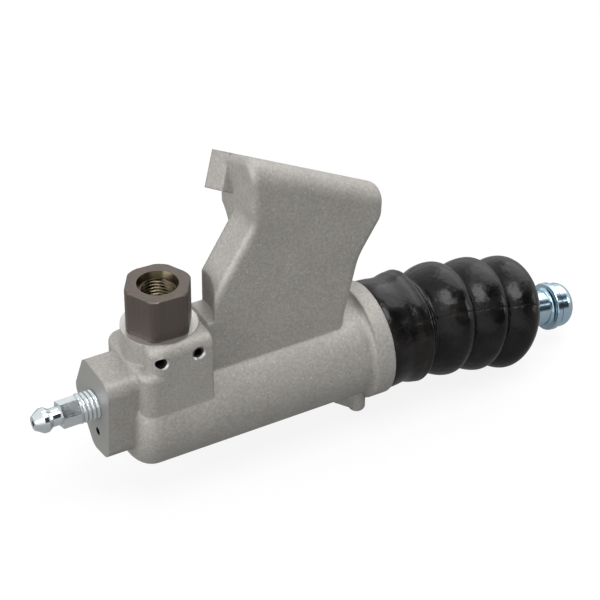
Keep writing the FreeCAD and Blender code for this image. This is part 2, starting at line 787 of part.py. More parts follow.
def boot_fold(index):
    """Sections (distance along the centre line, outer radius) of one half-round fold."""
    fold_r = boot_fold_dia / 2
    root_before = boot_root_dia / 2 if index > 0 else boot_first_root_dia / 2
    root_after = boot_root_dia / 2 if index < boot_fold_count - 1 else boot_end_dia / 2
    start = boot_sleeve_length + index * boot_fold_pitch
    sections = []
    for step in range(fold_steps + 1):
        turn = math.pi * step / fold_steps
        root = root_before if 2 * step < fold_steps else root_after
        s = start + boot_fold_pitch * (1 - math.cos(turn)) / 2
        sections.append((s, root + (fold_r - root) * math.sin(turn)))
    return sections


def boot_circle(s, radius):
    """Circle square to the boot's bent centre line."""
    angle = s / boot_bend_radius
    center = Vector(boot_bend_radius * math.sin(angle), 0, boot_bend_radius * (math.cos(angle) - 1))
    along = Vector(math.cos(angle), 0, -math.sin(angle))
    return Part.Wire(Part.makeCircle(radius, center, along))


def boot_loft(sections, ruled):
    return Part.makeLoft([boot_circle(s, r) for s, r in sections], True, ruled)


def make_boot():
    """Rubber boot: a sleeve over the nose and four folds that droop to the pushrod."""
    sleeve_r = boot_sleeve_dia / 2
    end = boot_sleeve_length + boot_fold_count * boot_fold_pitch
    folds = [boot_fold(index) for index in range(boot_fold_count)]
    dip_start = boot_sleeve_length - boot_sleeve_dip_length
    first_root_r = boot_first_root_dia / 2
    sleeve = [
        (face_gap, sleeve_r - boot_sleeve_bevel), (face_gap + boot_sleeve_bevel, sleeve_r),
        (dip_start, sleeve_r), (boot_sleeve_length, first_root_r),
    ]
    skin = boot_loft(sleeve, True).fuse([boot_loft(fold, False) for fold in folds])
    wall_inside = end - boot_end_wall
    hollow_start = nose_length + boot_nose_gap
    entry_r = nose_dia / 2 - boot_sleeve_bevel
    entry = [(hollow_start, entry_r), (boot_sleeve_length, first_root_r - boot_wall)]
    hollow = [boot_loft(entry, True)]
    for fold in folds:
        inside = [(s, r - boot_wall) for s, r in fold if s < wall_inside]
        hollow.append(boot_loft(inside, False))
    nose_r = nose_dia / 2 + boot_seat_gap
    groove_r = nose_r - boot_groove_depth
    start = boot_groove_start + boot_seat_gap
    stop = boot_groove_start + boot_groove_width - boot_seat_gap
    seat_end = hollow_start + boot_nose_gap / 2
    seat = turned([
        (-overlap, 0), (-overlap, nose_r), (start, nose_r), (start, groove_r), (stop, groove_r),
        (stop, nose_r), (seat_end, nose_r), (seat_end, 0),
    ])
    rod_hole = on_rod(cylinder(rod_dia / 2 + boot_rod_gap, Vector(0, 0, 0), X_AXIS, rod_reach))
    return skin.cut(hollow + [seat, rod_hole])


def write(shape, name):
    moved = shape.copy()
    moved.translate(-pad_center)
    moved.exportStep("parts/" + name + ".step")
    solids = moved.Solids
    volume = sum(solid.Volume for solid in solids)
    print(name, "solids", len(solids), "valid", moved.isValid(), "volume", round(volume, 1))


os.makedirs("parts", exist_ok=True)
write(make_cylinder_body(), "cylinder_body")
write(make_hose_adapter(), "hose_adapter")
write(make_adapter_o_ring(), "adapter_o_ring")
write(make_roll_pin(-1, left_pin_recess), "roll_pin_left")
write(make_roll_pin(1, right_pin_recess), "roll_pin_right")
write(make_bleed_screw(), "bleed_screw")
write(make_return_spring(), "return_spring")
write(make_spring_seat(), "spring_seat")
write(make_primary_cup(), "primary_cup")
write(make_piston(), "piston")
write(make_secondary_cup(), "secondary_cup")
write(make_stop_ring(), "stop_ring")
write(make_pushrod(), "pushrod")
write(make_boot(), "boot")
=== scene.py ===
import bmesh
import bpy
import math
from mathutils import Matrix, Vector


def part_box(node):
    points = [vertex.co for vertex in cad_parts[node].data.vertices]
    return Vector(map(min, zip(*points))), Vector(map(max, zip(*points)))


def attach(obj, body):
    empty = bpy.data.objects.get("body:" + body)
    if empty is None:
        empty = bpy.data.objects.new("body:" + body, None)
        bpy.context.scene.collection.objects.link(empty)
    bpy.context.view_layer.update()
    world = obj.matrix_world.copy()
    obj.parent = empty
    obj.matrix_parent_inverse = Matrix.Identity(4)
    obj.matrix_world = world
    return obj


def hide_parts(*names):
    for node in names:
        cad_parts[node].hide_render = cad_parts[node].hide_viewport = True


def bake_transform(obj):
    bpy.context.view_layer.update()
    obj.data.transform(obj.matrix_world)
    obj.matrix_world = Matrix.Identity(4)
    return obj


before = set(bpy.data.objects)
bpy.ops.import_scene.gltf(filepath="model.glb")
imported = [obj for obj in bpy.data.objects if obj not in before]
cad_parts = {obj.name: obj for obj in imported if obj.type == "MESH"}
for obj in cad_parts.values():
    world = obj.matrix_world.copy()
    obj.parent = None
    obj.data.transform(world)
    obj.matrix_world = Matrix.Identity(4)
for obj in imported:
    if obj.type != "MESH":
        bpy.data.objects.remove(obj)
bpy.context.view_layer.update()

# Clutch slave cylinder: a blasted aluminium casting with a dark steel hose adapter, a plated bleed
# screw, a rubber boot and a plated pushrod. Lengths here are in millimetres and are turned to metres
# where the meshes are made. X runs along the cylinder towards the pushrod, with 0 at the boot's collar.

MM = 0.001
CYLINDER_ORIGIN = Vector((20.0, -7.0, -60.43))

PORT_X = -66.0
PORT_BORE_RADIUS = 6.55
PORT_BORE_FLOOR_Z = 14.0
SPOTFACE_Z = 28.4
SPOTFACE_RADIUS = 10.8
SPOTFACE_CHAMFER = 0.5
HEX_TOP_Z = 41.4
PIN_OFFSET = 5.45
PIN_Z = 24.6
PIN_CHAMFER_RADIUS = 2.08
PORT_BLOCK_HALF_DEPTH = 13.0

CYLINDER_BORE_FLOOR_X = -70.1
INSIDE_BARREL_RADIUS = 11.5

BLEED_FACE_X = -86.0
BLEED_Z = 8.1
DIMPLE_Y = -1.1
DIMPLE_Z = -0.8
DIMPLE_RADIUS = 1.15
DIMPLE_DEPTH = 3.0

PAD_NORMAL = Vector((0.41998, 0.35795, 0.83396))
PAD_CENTRE = Vector((-20, 7, 60.43))

ROD_PIVOT_X = -9.0
ROD_DROOP = math.radians(9.0)


def to_frame(point):
    """A point in the cylinder's own millimetres, in the frame's metres."""
    return (Vector(point) + CYLINDER_ORIGIN) * MM


def linear(hex_colour):
    """Linear colour of an sRGB hex value."""
    parts = [int(hex_colour[i:i + 2], 16) / 255 for i in (1, 3, 5)]
    return [c / 12.92 if c <= 0.04045 else ((c + 0.055) / 1.055) ** 2.4 for c in parts] + [1.0]


def per(size_mm):
    """Texture scale whose features are about this many millimetres across."""
    return 1.0 / (size_mm * MM)


def add(tree, kind, inputs=None, **settings):
    """Adds a node, sets what it is told, and links the inputs that are given as sockets."""
    node = tree.nodes.new(kind)
    for name, value in settings.items():
        setattr(node, name, value)
    for name, value in (inputs or {}).items():
        if isinstance(value, bpy.types.NodeSocket):
            tree.links.new(value, node.inputs[name])
        else:
            node.inputs[name].default_value = value
    return node


# Finishes

# The sockets of a Mix node's two colours and of the colour that it gives.
COLOUR_A = 6
COLOUR_B = 7
COLOUR_OUT = 2

# A noise texture keeps almost wholly between these values.
NOISE_SPAN = {"From Min": 0.3, "From Max": 0.7}


def start_material(name, colour, metallic, roughness):
    """A material with its plain values set on the shader's own sockets."""
    material = bpy.data.materials.new(name)
    material.use_nodes = True
    tree = material.node_tree
    shader = tree.nodes["Principled BSDF"]
    shader.inputs["Base Color"].default_value = linear(colour)
    shader.inputs["Metallic"].default_value = metallic
    shader.inputs["Roughness"].default_value = roughness
    place = add(tree, "ShaderNodeTexCoord").outputs["Object"]
    return material, tree, shader, place


def drifting_tint(tree, place, patch_size, first, second):
    """A colour that drifts over the surface between two (noise value, hex colour) pairs."""
    drift = add(tree, "ShaderNodeTexNoise", {
        "Vector": place, "Scale": per(patch_size), "Detail": 1.0}).outputs["Fac"]
    tint = add(tree, "ShaderNodeValToRGB", {"Fac": drift})
    for stop, (position, colour) in zip(tint.color_ramp.elements, (first, second)):
        stop.position = position
        stop.color = linear(colour)
    return tint.outputs["Color"]


def bead_blasted_casting():
    """Cast aluminium, bead blasted: an even satin grey like fine sand, with painted glints and painted pit
    shade as small bright and dark grains.
    """
    grey = "#a5a29d"
    material, tree, shader, place = start_material("bead_blasted_cast_aluminium", grey, 0.4, 0.58)
    # The blasted dimples are about 0.15 mm across, and are drawn at 0.8 mm so that they show.
    grain_size = 0.8
    grain = add(tree, "ShaderNodeTexNoise", {
        "Vector": place, "Scale": per(grain_size), "Detail": 2.0, "Roughness": 0.6}).outputs["Fac"]
    clouds = add(tree, "ShaderNodeTexNoise", {
        "Vector": place, "Scale": per(11.0), "Detail": 3.0}).outputs["Fac"]
    grain_tone = add(tree, "ShaderNodeMapRange", {
        "Value": grain, **NOISE_SPAN, "To Min": 0.84, "To Max": 1.1}).outputs["Result"]
    cloud_tone = add(tree, "ShaderNodeMapRange", {
        "Value": clouds, **NOISE_SPAN, "To Min": 0.95, "To Max": 1.05}).outputs["Result"]
    tone = add(tree, "ShaderNodeMath", {0: grain_tone, 1: cloud_tone}, operation="MULTIPLY").outputs[0]
    colour = add(tree, "ShaderNodeMix", {
        "Factor": 1.0, COLOUR_A: linear(grey), COLOUR_B: tone},
        data_type="RGBA", blend_type="MULTIPLY").outputs[COLOUR_OUT]
    # Painted glints and painted shade: one grain in ten gets a pale spot, a painted glint like a burnished
    # crest catching the light, and one in forty gets a dark spot, painted shade like that in a pit.
    cells = add(tree, "ShaderNodeTexVoronoi", {"Vector": place, "Scale": per(grain_size)})
    core = add(tree, "ShaderNodeMapRange", {
        "Value": cells.outputs["Distance"], "From Min": 0.16, "From Max": 0.28,
        "To Min": 1.0, "To Max": 0.0}).outputs["Result"]
    lot = add(tree, "ShaderNodeSeparateColor", {"Color": cells.outputs["Color"]})
    # The crest spots are painted glints, and the dark spots are painted shade.
    crest = ("Red", 0.9, 0.62, "#dedcd8")
    painted_pit_shade = ("Green", 0.975, 0.5, "#5d5a56")
    for drawn_by, plain_share, strength, spot_colour in (crest, painted_pit_shade):
        chosen = add(tree, "ShaderNodeMath", {
            0: lot.outputs[drawn_by], 1: plain_share}, operation="GREATER_THAN").outputs[0]
        spot = add(tree, "ShaderNodeMath", {0: core, 1: chosen}, operation="MULTIPLY").outputs[0]
        share = add(tree, "ShaderNodeMath", {0: spot, 1: strength}, operation="MULTIPLY").outputs[0]
        colour = add(tree, "ShaderNodeMix", {
            "Factor": share, COLOUR_A: colour, COLOUR_B: linear(spot_colour)},
            data_type="RGBA").outputs[COLOUR_OUT]
    tree.links.new(colour, shader.inputs["Base Color"])
    # Cast skin: small dents a few millimetres apart under the blasting, and softly rounded edges.
    rounded = add(tree, "ShaderNodeBevel", {"Radius": 1.0 * MM}, samples=6).outputs["Normal"]
    dents = add(tree, "ShaderNodeTexNoise", {
        "Vector": place, "Scale": per(5.0), "Detail": 2.0}).outputs["Fac"]
    skin = add(tree, "ShaderNodeBump", {
        "Strength": 1.0, "Distance": 0.09 * MM, "Height": dents, "Normal": rounded}).outputs["Normal"]
    blasted = add(tree, "ShaderNodeBump", {
        "Strength": 1.0, "Distance": 0.05 * MM, "Height": grain, "Normal": skin}).outputs["Normal"]
    tree.links.new(blasted, shader.inputs["Normal"])
    return material


def painted_shade_hole_wall():
    """Walls of the drilled holes, painted dark as painted shade for their insides, with a faint mottle."""
    material, tree, shader, place = start_material("painted_shade_hole_wall", "#2b2826", 0.5, 0.5)
    shade_mottle = add(tree, "ShaderNodeTexNoise", {
        "Vector": place, "Scale": per(1.5), "Detail": 1.0}).outputs["Fac"]
    colour = add(tree, "ShaderNodeMix", {
        "Factor": shade_mottle, COLOUR_A: linear("#1d1b1a"), COLOUR_B: linear("#3a3633")},
        data_type="RGBA").outputs[COLOUR_OUT]
    tree.links.new(colour, shader.inputs["Base Color"])
    return material


def machined_aluminium(name, colour, metallic, roughness):
    """Faces cut after the blasting: brighter and smoother, with fine tool marks."""
    material, tree, shader, place = start_material(name, colour, metallic, roughness)
    # Feed marks about 0.2 mm apart, drawn at 0.5 mm so that they show.
    marks = add(tree, "ShaderNodeTexNoise", {
        "Vector": place, "Scale": per(0.5), "Detail": 1.0}).outputs["Fac"]
    tone = add(tree, "ShaderNodeMapRange", {
        "Value": marks, **NOISE_SPAN, "To Min": 0.93, "To Max": 1.04}).outputs["Result"]
    shade = add(tree, "ShaderNodeMix", {
        "Factor": 1.0, COLOUR_A: linear(colour), COLOUR_B: tone},
        data_type="RGBA", blend_type="MULTIPLY").outputs[COLOUR_OUT]
    tree.links.new(shade, shader.inputs["Base Color"])
    cut = add(tree, "ShaderNodeBump", {
        "Strength": 0.4, "Distance": 0.02 * MM, "Height": marks}).outputs["Normal"]
    tree.links.new(cut, shader.inputs["Normal"])
    return material


def dark_passivated_steel():
    """Drawn and turned bar, passivated dark: low gloss, drifting between brown, olive and a faint purple."""
    material, tree, shader, place = start_material("dark_passivated_steel", "#67605a", 0.9, 0.4)
    tint = drifting_tint(tree, place, 9.0, (0.38, "#635c55"), (0.62, "#675d59"))
    # Draw marks along the bar are hair fine, and are drawn as streaks 0.9 mm wide so that they show.
    stretched = add(tree, "ShaderNodeMapping", {"Vector": place, "Scale": (1.0, 1.0, 0.03)}).outputs[0]
    streaks = add(tree, "ShaderNodeTexNoise", {
        "Vector": stretched, "Scale": per(0.9), "Detail": 2.0}).outputs["Fac"]
    streak_tone = add(tree, "ShaderNodeMapRange", {
        "Value": streaks, **NOISE_SPAN, "To Min": 0.92, "To Max": 1.06}).outputs["Result"]
    colour = add(tree, "ShaderNodeMix", {
        "Factor": 1.0, COLOUR_A: tint, COLOUR_B: streak_tone},
        data_type="RGBA", blend_type="MULTIPLY").outputs[COLOUR_OUT]
    tree.links.new(colour, shader.inputs["Base Color"])
    rounded = add(tree, "ShaderNodeBevel", {"Radius": 0.35 * MM}, samples=4).outputs["Normal"]
    drawn = add(tree, "ShaderNodeBump", {
        "Strength": 0.5, "Distance": 0.02 * MM, "Height": streaks, "Normal": rounded}).outputs["Normal"]
    tree.links.new(drawn, shader.inputs["Normal"])
    return material


def olive_chromate_thread():
    """Cut thread and lead-in of the hose mouth: bright steel under an olive and brown passivation."""
    material, tree, shader, place = start_material("olive_chromate_thread", "#6f6850", 1.0, 0.26)
    tint = drifting_tint(tree, place, 6.0, (0.42, "#56513a"), (0.58, "#605748"))
    tree.links.new(tint, shader.inputs["Base Color"])
    return material


def blue_zinc_plate(name, colour, tint):
    """Bright zinc plating with a blue passivation: mirror-like, its tint drifting over the surface."""
    material, tree, shader, place = start_material(name, colour, 1.0, 0.2)
    drift = add(tree, "ShaderNodeTexNoise", {
        "Vector": place, "Scale": per(5.0), "Detail": 2.0}).outputs["Fac"]
    mixed = add(tree, "ShaderNodeMix", {
        "Factor": drift, COLOUR_A: linear(colour), COLOUR_B: linear(tint)},
        data_type="RGBA").outputs[COLOUR_OUT]
    tree.links.new(mixed, shader.inputs["Base Color"])
    dull = add(tree, "ShaderNodeMapRange", {
        "Value": drift, **NOISE_SPAN, "To Min": 0.1, "To Max": 0.2}).outputs["Result"]
    tree.links.new(dull, shader.inputs["Roughness"])
    return material


def spring_steel():
    """Hard drawn steel with a thin dark oil film."""
    material, tree, shader, place = start_material("oiled_spring_steel", "#4c4a48", 1.0, 0.35)
    film = add(tree, "ShaderNodeTexNoise", {
        "Vector": place, "Scale": per(2.0), "Detail": 2.0}).outputs["Fac"]
    colour = add(tree, "ShaderNodeMix", {
        "Factor": film, COLOUR_A: linear("#3c3a39"), COLOUR_B: linear("#5b5957")},
        data_type="RGBA").outputs[COLOUR_OUT]
    tree.links.new(colour, shader.inputs["Base Color"])
    return material


def turned_aluminium():
    """Piston turned from bar and hard anodised: smooth grey with a fine feed."""
    material, tree, shader, place = start_material("turned_anodised_aluminium", "#a2a19c", 0.9, 0.32)
    # The feed is about 0.1 mm, and is drawn at 0.6 mm so that it shows; a wave is 0.31 of its scale.
    feed = add(tree, "ShaderNodeTexWave", {
        "Vector": place, "Scale": per(1.9), "Distortion": 0.2}, bands_direction="X").outputs["Fac"]
    cut = add(tree, "ShaderNodeBump", {
        "Strength": 0.3, "Distance": 0.01 * MM, "Height": feed}).outputs["Normal"]
    tree.links.new(cut, shader.inputs["Normal"])
    return material


def moulded_rubber(name, colour, light_colour, roughness):
    """Moulded black rubber: a soft sheen, a little paler where bloom and dust lie on it."""
    material, tree, shader, place = start_material(name, colour, 0.0, roughness)
    shader.inputs["Specular IOR Level"].default_value = 0.24
    bloom = add(tree, "ShaderNodeTexNoise", {
        "Vector": place, "Scale": per(7.0), "Detail": 4.0, "Roughness": 0.6}).outputs["Fac"]
    patch = add(tree, "ShaderNodeMapRange", {
        "Value": bloom, "From Min": 0.42, "From Max": 0.72, "To Min": 0.0, "To Max": 1.0}).outputs["Result"]
    mixed = add(tree, "ShaderNodeMix", {
        "Factor": patch, COLOUR_A: linear(colour), COLOUR_B: linear(light_colour)},
        data_type="RGBA").outputs[COLOUR_OUT]
    tree.links.new(mixed, shader.inputs["Base Color"])
    dull = add(tree, "ShaderNodeMapRange", {
        "Value": bloom, **NOISE_SPAN,
        "To Min": roughness - 0.08, "To Max": roughness + 0.08}).outputs["Result"]
    tree.links.new(dull, shader.inputs["Roughness"])
    # The mould's own texture: grains of about 0.5 mm on gentle waves of a few millimetres.
    waves = add(tree, "ShaderNodeTexNoise", {
        "Vector": place, "Scale": per(3.5), "Detail": 2.0}).outputs["Fac"]
    grains = add(tree, "ShaderNodeTexNoise", {
        "Vector": place, "Scale": per(0.5), "Detail": 2.0}).outputs["Fac"]
    wavy = add(tree, "ShaderNodeBump", {
        "Strength": 1.0, "Distance": 0.27 * MM, "Height": waves}).outputs["Normal"]
    rough = add(tree, "ShaderNodeBump", {
        "Strength": 1.0, "Distance": 0.02 * MM, "Height": grains, "Normal": wavy}).outputs["Normal"]
    tree.links.new(rough, shader.inputs["Normal"])
    return material


# Meshes

def mesh_object(name, points, faces, material, sharp_deg=35.0):
    """A mesh piece from points in the cylinder's millimetres, smooth up to a sharp angle."""
    mesh = bpy.data.meshes.new(name)
    mesh.from_pydata([to_frame(p) for p in points], [], faces)
    mesh.materials.append(material)
    skin = bmesh.new()
    skin.from_mesh(mesh)
    bmesh.ops.recalc_face_normals(skin, faces=skin.faces)
    skin.to_mesh(mesh)
    skin.free()
    mesh.shade_smooth()
    mesh.set_sharp_from_angle(angle=math.radians(sharp_deg))
    mesh.update()
    piece = bpy.data.objects.new(name, mesh)
    bpy.context.scene.collection.objects.link(piece)
    return piece


def skin_rings(rings, closed):
    """Quads between neighbouring rings of points; closed joins the last ring to the first."""
    count = len(rings[0])
    points = [p for ring in rings for p in ring]
    faces = []
    last = len(rings) if closed else len(rings) - 1
    for i in range(last):
        here = i * count
        ahead = (i + 1) % len(rings) * count
        for j in range(count):
            k = (j + 1) % count
            faces.append((here + j, here + k, ahead + k, ahead + j))
    if not closed:
        faces.append(tuple(range(count - 1, -1, -1)))
        faces.append(tuple(last * count + j for j in range(count)))
    return points, faces


# Rubber boot. Its profiles are (distance along the boot, radius) points of the outside.

BOOT_BEND_RADIUS = 153.0
BOOT_WALL = 1.6
BOOT_END = 54.4
BOOT_AROUND = 120
SKIN_GAP = 0.2

SLEEVE = [(0.1, 15.7), (0.25, 16.05), (0.7, 16.3), (2.8, 16.3), (4.8, 16.15), (6.4, 15.9)]
NOSE_END = 7.4
NOSE_RADIUS = 13.75
NOSE_GROOVE_START = 1.9
NOSE_GROOVE_END = 4.5
NOSE_GROOVE_RADIUS = 12.45
NOSE_GROOVE_SLOPE = 0.05

FIRST_FOLD = [
    (7.6, 15.85), (8.8, 16.05), (10.0, 16.4), (11.0, 16.62), (11.8, 16.62), (12.4, 16.8), (12.9, 16.85),
    (13.4, 16.6), (13.8, 16.0), (14.1, 15.3), (14.4, 14.6), (14.8, 14.0), (15.4, 13.55), (16.2, 13.4),
]
OTHER_FOLDS = [(16.2, 28.9), (28.9, 40.9), (40.9, 54.2)]
CREST_SHARES = (0.66, 0.66, 0.53)
FOLD_RADIUS = 17.0
ROOT_RADII = (13.4, 14.0, 13.4, 9.0)
RISE_FULLNESS = 0.8
FALL_FULLNESS = 0.62
RING_CROWDING = 1.25
NEXT_TO_CREST = 0.035

END_WALL = [(0.25, 8.2), (0.1, 6.6)]
ROD_HOLE_RADIUS = 5.45
ROD_HOLE_DEPTH = 2.4

PARTING_SEAMS = (math.radians(38.0), math.radians(218.0))
STEP_DEPTH = 0.22
STEP_WIDTH = 0.06
STEP_EDGE = 0.001
STEP_RINGS = (-0.03, -0.012, 0.0, 0.012, 0.03)

DENT_ANGLE = math.radians(76.0)
DENT_WIDTH = math.radians(24.0)
DENT_DISTANCE = 12.4
DENT_LENGTH = 2.4
DENT_DEPTH = 1.3


def boot_point(s, radius, angle):
    """Point on the boot, by distance along its drooping centre line; angle 0 is the front, 90 is up."""
    bend = s / BOOT_BEND_RADIUS
    centre = Vector((math.sin(bend), 0, math.cos(bend) - 1)) * BOOT_BEND_RADIUS
    up = Vector((math.sin(bend), 0, math.cos(bend)))
    return centre + radius * (math.sin(angle) * up - math.cos(angle) * Vector((0, 1, 0)))


def boot_angles():
    """Angles round the boot, closer together at the two steps of the mould's parting line."""
    angles = [2 * math.pi * j / BOOT_AROUND for j in range(BOOT_AROUND)]
    for seam in PARTING_SEAMS:
        angles += [seam + off for off in STEP_RINGS]
    return sorted(angles)


def moulding_depth(s, angle):
    """How far the mould's parting steps and the dent in the first fold's rim sink the outside."""
    sunk = 0.0
    for seam in PARTING_SEAMS:
        off = math.remainder(angle - seam, 2 * math.pi)
        if off <= STEP_EDGE:
            sunk += STEP_DEPTH * math.exp(off / STEP_WIDTH)
    in_dent = math.exp(-((s - DENT_DISTANCE) / DENT_LENGTH) ** 2)
    off = math.remainder(angle - DENT_ANGLE, 2 * math.pi)
    return sunk + DENT_DEPTH * in_dent * math.exp(-(off / DENT_WIDTH) ** 2)


def outer_rings(profile):
    """Rings of the boot's outside, with what the mould left on it."""
    angles = boot_angles()
    return [[boot_point(s, r - moulding_depth(s, a), a) for a in angles] for s, r in profile]


def plain_rings(profile):
    """Smooth rings, for the boot's inside and its end wall."""
    angles = boot_angles()
    return [[boot_point(s, r, a) for a in angles] for s, r in profile]


def fold_crest(index):
    """Distance along the boot of a later fold's crest."""
    start, end = OTHER_FOLDS[index]
    return start + (end - start) * CREST_SHARES[index]


def fold_rise(index, steps=12):
    """Profile of a later fold's long rounded rise, up to its crest."""
    start = OTHER_FOLDS[index][0]
    crest = fold_crest(index)
    root = ROOT_RADII[index]
    shares = [(step / steps) ** RING_CROWDING for step in range(steps)] + [1 - NEXT_TO_CREST, 1.0]
    profile = []
    for share in shares:
        height = math.sin(math.pi / 2 * share) ** RISE_FULLNESS
        profile.append((start + (crest - start) * share, root + (FOLD_RADIUS - root) * height))
    return profile


def fold_fall(index, steps=9):
    """Profile of a later fold's steep drop, from its crest to the next root."""
    end = OTHER_FOLDS[index][1]
    crest = fold_crest(index)
    root = ROOT_RADII[index + 1]
    shares = [0.0, NEXT_TO_CREST]
    shares += [1 - (1 - step / steps) ** RING_CROWDING for step in range(1, steps)]
    profile = []
    for share in shares:
        height = math.cos(math.pi / 2 * share) ** FALL_FULLNESS
        profile.append((crest + (end - crest) * share, root + (FOLD_RADIUS - root) * height))
    return profile + [(end, root)]


def inset(profile, wall):
    """The same profile one wall further in, in reverse, for the inside of the skin."""
    thinnest = 0.6
    inner = []
    for i, (s, r) in enumerate(profile):
        s0, r0 = profile[max(i - 1, 0)]
        s1, r1 = profile[min(i + 1, len(profile) - 1)]
        along = Vector((s1 - s0, r1 - r0)).normalized()
        inner.append((s + along.y * wall / 2, r - wall * max(along.x, thinnest)))
    return inner[::-1]


def boot_near_piece(rubber):
    """Sleeve over the nose, up to the second fold's crest."""
    folds = FIRST_FOLD + fold_rise(0)[1:]
    inside = [point for point in inset(folds, BOOT_WALL) if point[0] > NOSE_END + SKIN_GAP]
    on_nose = [
        (NOSE_END, NOSE_RADIUS),
        (NOSE_GROOVE_END + NOSE_GROOVE_SLOPE, NOSE_RADIUS),
        (NOSE_GROOVE_END, NOSE_GROOVE_RADIUS),
        (NOSE_GROOVE_START, NOSE_GROOVE_RADIUS),
        (NOSE_GROOVE_START - NOSE_GROOVE_SLOPE, NOSE_RADIUS),
        (SLEEVE[0][0], NOSE_RADIUS),
    ]
    points, faces = skin_rings(outer_rings(SLEEVE + folds) + plain_rings(inside + on_nose), closed=True)
    return mesh_object("boot_inner_folds", points, faces, rubber, sharp_deg=60.0)


def rod_hole_ring(s):
    """Where the round hole for the rod meets the boot's end wall."""
    bend = s / BOOT_BEND_RADIUS
    normal = Vector((math.cos(bend), 0, -math.sin(bend)))
    on_plane = boot_point(s, 0, 0)
    along = Vector((math.cos(ROD_DROOP), 0, -math.sin(ROD_DROOP)))
    up = Vector((math.sin(ROD_DROOP), 0, math.cos(ROD_DROOP)))
    pivot = Vector((ROD_PIVOT_X, 0, 0))
    ring = []
    for angle in boot_angles():
        start = pivot + ROD_HOLE_RADIUS * (math.sin(angle) * up - math.cos(angle) * Vector((0, 1, 0)))
        reach = (on_plane - start).dot(normal) / along.dot(normal)
        ring.append(start + along * reach)
    return ring


def boot_far_piece(rubber):
    """From the second fold's crest to the end wall, its rod hole cut along the drooping pushrod."""
    folds = fold_fall(0)
    for index in (1, 2):
        folds += fold_rise(index)[1:] + fold_fall(index)[1:]
    end_wall = [(BOOT_END + beyond, radius) for beyond, radius in END_WALL]
    hole = [rod_hole_ring(BOOT_END), rod_hole_ring(BOOT_END - ROD_HOLE_DEPTH)]
    hole_end = BOOT_END - ROD_HOLE_DEPTH - SKIN_GAP
    inside = [point for point in inset(folds, BOOT_WALL) if point[0] < hole_end]
    rings = outer_rings(folds) + plain_rings(end_wall) + hole + plain_rings(inside)
    points, faces = skin_rings(rings, closed=True)
    return mesh_object("boot_outer_folds", points, faces, rubber, sharp_deg=60.0)


def make_boot():
    """The boot in two pieces, split at the second fold's crest."""
    rubber = moulded_rubber("moulded_boot_rubber", "#0c0c0d", "#201d1b", 0.22)
    near = boot_near_piece(rubber)
    far = boot_far_piece(rubber)
    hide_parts("boot")
    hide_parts("boot")
    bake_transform(near)
    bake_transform(far)


# Hose adapter

HEX_FLATS = 17.0
HEX_TURN = math.radians(-3.0)
HEX_TURNED_RADIUS = 9.3
HEX_CAP_RADIUS = 8.9
HEX_CHAMFER = math.radians(32.0)
HEX_CHAMFER_RINGS = [0.0, 0.1, 0.2, 0.3, 0.4, 0.55, 0.7, 0.85]
ADAPTER_AROUND = 240

STEM_RADIUS = 6.5
STEM_END_Z = 15.8
SEAL_Z = 18.8
SEAL_GROOVE_HALF = 1.1
SEAL_GROOVE_RADIUS = 4.75
PIN_GROOVE_HALF = 1.7
PIN_GROOVE_RADIUS = 3.75

# The hose mouth: a lead-in given by depth and radius, the thread's plain wall, and the seat's cone.
LEAD_IN = [(0.0, 5.7), (0.9, 5.35), (1.9, 4.95)]
MOUTH_FLOOR_Z = 30.8
MOUTH_FLOOR_RADIUS = 4.98
SEAT_FOOT_Z = 30.4
SEAT_FOOT_RADIUS = 4.5
SEAT_TIP_Z = 33.95
FLUID_HOLE_RADIUS = 1.3


def adapter_ring(height, reaches):
    """Ring of the adapter, from how far it reaches out at each step round its axis."""
    ring = []
    for step, reach in enumerate(reaches):
        angle = 2 * math.pi * step / ADAPTER_AROUND
        ring.append(Vector((PORT_X + reach * math.cos(angle), reach * math.sin(angle), height)))
    return ring


def round_adapter_ring(height, radius):
    """Turned part of the adapter."""
    return adapter_ring(height, [radius] * ADAPTER_AROUND)


def hexagon_ring(height, from_end):
    """The adapter's hexagon, its corners turned down and chamfered near both ends."""
    chamfer = HEX_CAP_RADIUS + from_end / math.tan(HEX_CHAMFER)
    reaches = []
    for step in range(ADAPTER_AROUND):
        angle = 2 * math.pi * step / ADAPTER_AROUND
        from_flat = math.remainder(angle - HEX_TURN - math.pi / 6, math.pi / 3)
        reaches.append(min(HEX_FLATS / 2 / math.cos(from_flat), HEX_TURNED_RADIUS, chamfer))
    return adapter_ring(height, reaches)


def stem_groove(middle_z, half_width, radius):
    """Profile of a groove turned into the stem, as (height, radius) points."""
    low = middle_z - half_width
    high = middle_z + half_width
    return [(low, STEM_RADIUS), (low, radius), (high, radius), (high, STEM_RADIUS)]


